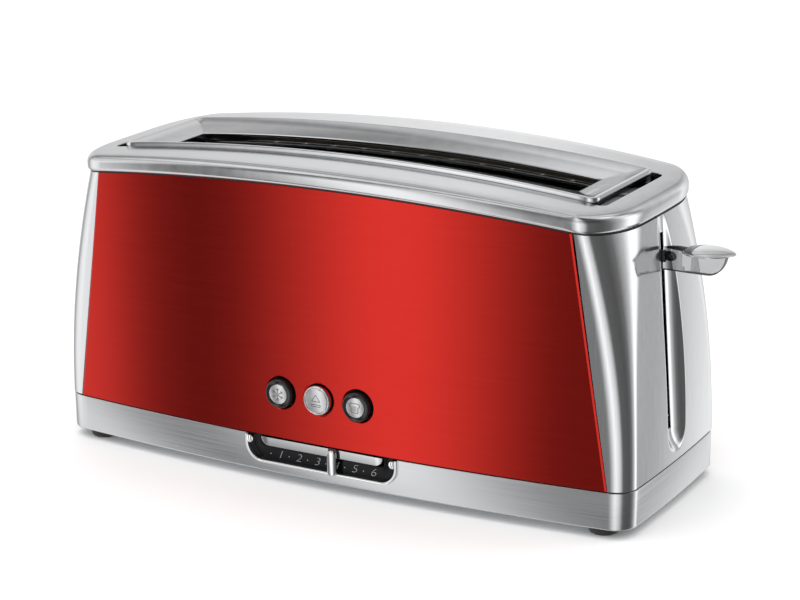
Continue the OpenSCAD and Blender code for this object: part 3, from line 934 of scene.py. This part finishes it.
def slice_mark(cap):
    """A slice of bread with three waves of heat."""
    right = [(2.3, -3.0), (2.3, 0.2), (3.2, 0.9), (3.3, 2.1), (2.5, 2.9)]
    outline = [(-2.3, -3.0), *right, *((-x, z) for x, z in reversed(right[1:]))]
    stroke(outline, 0.42, cap, "icon_slice_outline", closed=True)
    for i, x in enumerate((-1.0, 0.0, 1.0)):
        wave = [(x + 0.28 * math.sin(k * 1.5), -2.0 + 0.45 * k) for k in range(8)]
        stroke(wave, 0.32, cap, f"icon_slice_heat_{i}")


def build_buttons():
    """The three push buttons with their marks and the dimples round them."""
    plans = ((6.6, "gloss", snowflake), (8.0, "chrome", eject_mark), (6.6, "gloss", slice_mark))
    for number, (side, (radius, look, mark)) in enumerate(zip(BUTTONS, plans)):
        body = side + "_button"
        spot, front = build_button("button_" + side, body, radius, look)
        mark((spot, front, radius, body))
        build_dimple(spot, number)


def build_knob():
    """The upright pill of the browning knob and the stepped arm behind it."""
    low, high = extent("browning_knob")
    x, front, back = (low.x + high.x) / 2, low.y, high.y
    levels = [(1.3, front), (2.2, front + 0.12), (2.9, front + 0.75), (3.2, front + 1.4), (3.2, back)]
    steps = 16
    rings = []
    for half, y in levels:
        ring = []
        for k in range(2 * steps):
            a = math.pi * (k + 0.5) / steps
            u, v = half * math.cos(a), half * math.sin(a)
            ring.append(at(x + u, y, (high.z - 3.2 if v > 0 else low.z + 3.2) + v))
        rings.append(ring)
    body = "browning_slider"
    piece("knob_pill", loft(rings, ends=True), "chrome", body, ["browning_knob"], angle=25)
    low, high = extent("knob_arm")
    front, back, foot, top = low.y, high.y, low.z, high.z
    over, under = 28, 26.9
    side = [(front, foot), (front, top), (-64.7, top), (-64.7, over), (back, over), (back, 23.2)]
    side += [(back - 1.1, 23.2), (back - 1.1, under), (-65.7, under), (-65.7, top - 0.8)]
    side += [(front + 1.4, top - 0.8), (front + 1.4, foot)]
    outline = fillet_profile(side, [0.4, 0.7, 0.3, 0, 0.3, 0, 0, 0, 0.3, 0.3, 0.4, 0.4], 3)
    bar = loft([[at(x + u, y, z) for y, z in outline] for u in (-2.6, 2.6)], ends=True)
    soften(piece("knob_slider_arm", bar, "gloss", body, ["knob_arm"]), 0.2)


# ---------- lever ----------

leaf_low, leaf_high = extent("lever_cap")
LEAF_LOW = leaf_low.z
LEAF_THICK = leaf_high.z - leaf_low.z
BLADE_TOP = LEAF_LOW + 0.3 * LEAF_THICK
BLADE_LOW = extent("lever_keel")[0].z - 2.3
# share of the leaf's reach and share of its thickness, for its lower and upper faces
LEAF_UNDER = [(0.02, 0.62), (0.5, 0.55), (0.86, 0.42), (0.955, 0.30), (0.99, 0.24)]
LEAF_OVER = [(1.0, 0.32), (0.985, 0.42), (0.93, 0.56), (0.78, 0.76), (0.5, 0.92), (0.2, 0.99), (0.02, 1.0)]


def leaf_point(scale, a, rise):
    """A point of the leaf, which is round toward the body and pointed at its outer tip."""
    reach = (leaf_high.x - leaf_low.x) / 2
    toward = (1 + math.cos(a)) / 2
    x = (leaf_low.x + leaf_high.x) / 2 + 0.6 + (reach - 0.6) * scale * math.cos(a)
    y = reach * scale * 0.93 * math.sin(a) * (1 - 0.36 * toward * toward)
    return at(x, y, LEAF_LOW + rise)


def leaf_height(scale):
    """Height of the leaf's upper face, as a share of its thickness."""
    for (s0, h0), (s1, h1) in zip(LEAF_OVER, LEAF_OVER[1:]):
        if s1 <= scale <= s0:
            return h1 + (h0 - h1) * (scale - s1) / (s0 - s1)
    return 1.0


def build_leaf():
    """The metal leaf on the lever, with a dark crescent let into it."""
    steps = 96
    rings = []
    for scale, share in LEAF_UNDER + LEAF_OVER:
        rings.append([leaf_point(scale, 2 * math.pi * k / steps, LEAF_THICK * share) for k in range(steps)])
    piece("lever_leaf", loft(rings, ends=True), "bezel", "carriage", ["lever_cap"])
    columns, rows = 32, 8
    crescent = []
    for j in range(rows + 1):
        ring = []
        for i in range(columns + 1):
            a = math.pi * (0.60 + 0.80 * i / columns)
            scale = 0.93 - 0.42 * j / rows * math.sin(math.pi * i / columns)
            ring.append(leaf_point(scale, a, min(LEAF_THICK * leaf_height(scale) + 0.03, LEAF_THICK)))
        crescent.append(ring)
    inlay = piece("lever_leaf_inlay", loft(crescent, around=False), "inlay", "carriage")
    thicken(inlay, 0.08, 0)


def build_blade():
    """The clear blade under the leaf, with a rounded lower edge and painted shade on its rims: its top,
    bottom and end faces take a darker copy of the acrylic.
    """
    inner, outer, bend = 188.6, 227.5, 11.5
    profile = [(inner + (outer - bend - inner) * i / 24, BLADE_LOW) for i in range(24)]
    for i in range(17):
        a = math.pi / 2 * i / 16
        lift = (BLADE_TOP - 0.4 - BLADE_LOW) * (1 - math.cos(a))
        profile.append((outer - bend + bend * math.sin(a), BLADE_LOW + lift))
    rings = []
    for x, z in profile:
        half = 1.6 + 1.1 * min(1.0, max(0.0, (x - 198) / 8))
        edge = min(0.9, (BLADE_TOP - z) * 0.4)
        flank = [(1, BLADE_TOP), (1, z + edge), (0.8, z + edge * 0.3), (0.5, z)]
        around = [(-y, height) for y, height in flank] + flank[::-1]
        rings.append([at(x, half * y, height) for y, height in around])
    blade = piece("lever_blade", loft(rings, ends=True), "acrylic", "carriage", ["lever_keel"])
    blade.data.materials.append(MATERIALS["acrylic_painted_rim_shade"])
    # painted shade: faces turned up, down or toward the ends take the dark copy of the acrylic
    for face in blade.data.polygons:
        if abs(face.normal.z) > 0.35 or abs(face.normal.x) > 0.5:
            face.material_index = 1


def build_lever_arm():
    """The steel arm through the slot, the black neck over the blade and the root in the slot."""
    low, high = extent("lever_arm")
    bar = block(*low, 190, high.y, high.z)
    soften(piece("lever_arm_bar", bar, "dark", "carriage", ["lever_arm"]), 0.2)
    neck = [(190.6, 1.3, 0.7), (194.0, 2.0, 1.3), (198.0, 2.9, 1.6), (202.5, 3.6, 1.3), (206.5, 3.2, 0.5)]
    angles = [math.pi * k / 12 for k in range(13)]
    foot = 0.4
    rings = []
    for x, half, rise in neck:
        arc = [(half * math.cos(a), (rise + foot) * math.sin(a) - foot) for a in angles]
        rings.append([at(x, y, BLADE_TOP + z) for y, z in arc])
    piece("lever_neck", loft(rings, ends=True), "gloss", "carriage")
    radius = 3.3
    bulb = []
    for i in range(17):
        a = math.pi * i / 16
        bulb.append((max(0.05, radius * math.sin(a)), -radius * math.cos(a)))
    verts, faces = lathe(bulb, (0, 0, 0), "Z", 48)
    spot = at(192.4, 0, (low.z + high.z) / 2 + 0.4)
    squash = Matrix.Diagonal((1.3, 0.5, 0.92))
    root = [spot + squash @ (v - at(0, 0, 0)) for v in verts]
    piece("lever_root", (root, faces), "gloss", "carriage")


# ---------- rear ----------


def build_tray_front():
    """The bar at the rear end of the crumb tray and the lip it is pulled by."""
    low, high = extent("tray_handle")
    half, inside, out = (high.x - low.x) / 2, 68, 1.0
    back = inside - DEPTH_HALF
    section = [(back, low.z), (out, low.z), (out, high.z), (back, high.z)]
    profile = fillet_profile(section, [0, 0.9, 0.9, 0], 4)
    columns = 60
    rings = []
    for i in range(columns + 1):
        x = -half + 2 * half * i / columns
        edge = bow_y(x, DEPTH_HALF)
        rings.append([at(x, max(inside, edge + d) if d > -9 else inside, z) for d, z in profile])
    front = piece("tray_front_bar", loft(rings, ends=True), "plastic", "tray", ["tray_handle"])
    soften(front, 0.3)
    root, grip = 76, 45
    section = [(0, 20.0), (5.9, 20.0), (5.9, 22.0), (0, 22.6)]
    profile = fillet_profile(section, [0, 0.9, 0.9, 0], 4)
    rings = []
    for i in range(41):
        x = grip * (i / 20 - 1)
        pull = 1.0 - (abs(x) / grip) ** 6
        rings.append([at(x, root + d * (0.35 + 0.65 * pull), z) for d, z in profile])
    piece("tray_front_lip", loft(rings, ends=True), "plastic", "tray")


def build_gland():
    """The ring that the mains cord would leave by."""
    spot = middle("cord_gland")
    low, high = extent("cord_gland")
    back = high.y
    profile = [(3.75, low.y), (6, low.y), (6, back - 2.6), (8, back - 2.6)]
    profile += [(8, back), (5.4, back), (3.75, back - 1.4)]
    section = fillet_profile(profile, [0, 0.3, 0, 0.5, 0.9, 0.6, 0.4], 4)
    ring = lathe(section, (spot.x, 0, spot.z), steps=64, hollow=True)
    piece("cord_gland_ring", ring, "rubber", nodes=["cord_gland"])


# ---------- carried-over nodes ----------

CARRIED = {
    "zinc": "base_plate chassis_floor chassis_plate_left chassis_plate_right rod_bracket carriage_bracket",
    "bright": "reflector_front reflector_rear guide_rods bread_rack guide_front guide_rear return_spring"
    " crumb_tray",
    "dark": "base_screws electromagnet armature",
    "rubber": "lower_seam_gasket",
    "plastic": "button_housing button_switches browning_pot",
    "board": "control_board",
    "ivory": "terminal_block",
    "mica": "element_board_front element_board_rear",
    "wire": "element_wire_front element_wire_rear",
    "copper": "magnet_coil",
}


def paint_nodes():
    """Gives the nodes that are shown as packed their looks."""
    for look, nodes in CARRIED.items():
        for node in nodes.split():
            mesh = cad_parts[node].data
            mesh.materials.clear()
            mesh.materials.append(MATERIALS[look])
            smooth(mesh, 30)


# ---------- scene ----------


def build_stage():
    """Pale plain floor; mirrors look past it at the room instead."""
    half = 4.0
    mesh = bpy.data.meshes.new("floor")
    corners = [(-half, -half, 0), (half, -half, 0), (half, half, 0), (-half, half, 0)]
    mesh.from_pydata(corners, [], [(0, 1, 2, 3)])
    floor = put("floor", mesh)
    material, node = shader("floor_paper", (0.95, 0.95, 0.95), 0.0, 0.8)
    bump(material, node, noise(material, (300, 300, 300)), 0.02, 0.0001)
    mesh.materials.append(material)
    floor.visible_glossy = False


# brightness of the room by azimuth in degrees: 0 is in front of the controls, positive toward the lever
ROOM = (
    (-180, 0.46), (-168, 0.36), (-155, 0.66), (-141, 0.40), (-127, 0.50), (-108, 0.25), (-82, 0.66),
    (-62, 0.75), (-48.5, 0.74), (-45, 0.22), (-41, 0.09), (-37.5, 0.14), (-33, 0.45), (-28, 0.84),
    (-24.5, 0.88), (-20, 0.48), (-15.5, 0.125), (-8, 0.18), (6, 0.45), (24, 0.86), (46, 0.50),
    (58, 0.09), (90, 0.07), (104, 0.12), (120, 0.42), (131, 1.0), (139, 0.95), (147, 0.32),
    (152, 0.29), (157, 0.48), (164, 0.72), (180, 0.46),
)
# how that changes with height, in degrees above the horizon
SKY = (
    (-90, 0.7), (-25, 0.9), (-17, 1.0), (3, 1.0), (13, 1.0), (24, 0.62),
    (30, 0.85), (37, 0.40), (45, 0.95), (60, 0.75), (90, 0.85),
)


def direction(azimuth, elevation):
    """A unit vector by its angle from the front toward the lever and its height, in degrees."""
    a, e = math.radians(azimuth), math.radians(elevation)
    return Vector((math.sin(a) * math.cos(e), -math.cos(a) * math.cos(e), math.sin(e)))


def soft_sun(name, azimuth, elevation, width, strength):
    """Wide soft light that whitens the floor and leaves no mirror image of itself."""
    way = direction(azimuth, elevation)
    light = bpy.data.lights.new(name, "SUN")
    light.angle = math.radians(width)
    light.energy = strength
    lamp = put(name, light)
    lamp.location = way * 2
    lamp.rotation_mode = "QUATERNION"
    lamp.rotation_quaternion = (-way).to_track_quat("-Z", "Y")
    lamp.visible_glossy = False


def level_ramp(world, source, levels):
    """A grey ramp over degrees, fed by an angle in radians."""
    low, high = levels[0][0], levels[-1][0]
    fit = add(world, "MapRange", Value=source, From_Min=math.radians(low), From_Max=math.radians(high))
    ramp = add(world, "ValToRGB", Fac=fit.outputs["Result"])
    stops = ramp.color_ramp.elements
    stops.remove(stops[-1])
    for angle, level in levels:
        place = (angle - low) / (high - low)
        stop = stops[0] if angle == low else stops.new(place)
        stop.position = place
        stop.color = (level, level, level, 1)
    return ramp.outputs["Color"]


def build_lights():
    """A dim room with soft bright walls, whose reflections draw the bands, and one wide sun overhead."""
    world = bpy.data.worlds.new("studio")
    bpy.context.scene.world = world
    world.use_nodes = True
    way = add(world, "TexCoord").outputs["Generated"]
    turned = add(world, "Mapping", Vector=way, Scale=(1, -1, 1)).outputs["Vector"]
    split = add(world, "SeparateXYZ", Vector=turned)
    azimuth = add(world, "Math", operation="ARCTAN2")
    for socket, axis in zip(azimuth.inputs, "XY"):
        world.node_tree.links.new(split.outputs[axis], socket)
    elevation = add(world, "Math", operation="ARCSINE", Value=split.outputs["Z"])
    room = level_ramp(world, azimuth.outputs["Value"], ROOM)
    sky = level_ramp(world, elevation.outputs["Value"], SKY)
    both = add(world, "Mix", data_type="RGBA", blend_type="MULTIPLY", Factor=1.0, A=room, B=sky)
    back = world.node_tree.nodes["Background"]
    fill(world, back, Color=both.outputs["Result"], Strength=1.85)
    soft_sun("overhead", 15, 72, 110, 2.4)


def build_camera():
    """Long lens at the front right, a little above the top frame."""
    azimuth, elevation, roll = 29.87, 16.9, math.radians(-0.749)
    distance = 1.45147
    target = at(0, 0, 95)
    back = direction(azimuth, elevation)
    level = direction(azimuth + 90, 0)
    up = back.cross(level)
    right = level * math.cos(roll) + up * math.sin(roll)
    above = up * math.cos(roll) - level * math.sin(roll)
    camera = bpy.data.cameras.new("camera")
    camera.lens = 104.498
    camera.shift_x = 0.022
    camera.shift_y = 0.0109
    holder = put("camera", camera)
    turn = Matrix((right, above, back)).transposed().to_4x4()
    holder.matrix_world = Matrix.Translation(target + back * distance) @ turn
    bpy.context.scene.camera = holder


bpy.context.scene.view_settings.view_transform = "Standard"
build_camera()
build_base()
build_recess_back()
build_control_bezel()
build_scale()
build_ledge()
build_feet()
build_front_panel()
build_panel(1, "rear_panel")
build_cover(1, "end_cover_right", grooved=True)
build_cover(-1, "end_cover_left", grooved=False)
build_rim()
build_upper_seam()
build_bezel()
build_buttons()
build_knob()
build_leaf()
build_blade()
build_lever_arm()
build_tray_front()
build_gland()
paint_nodes()
build_stage()
build_lights()
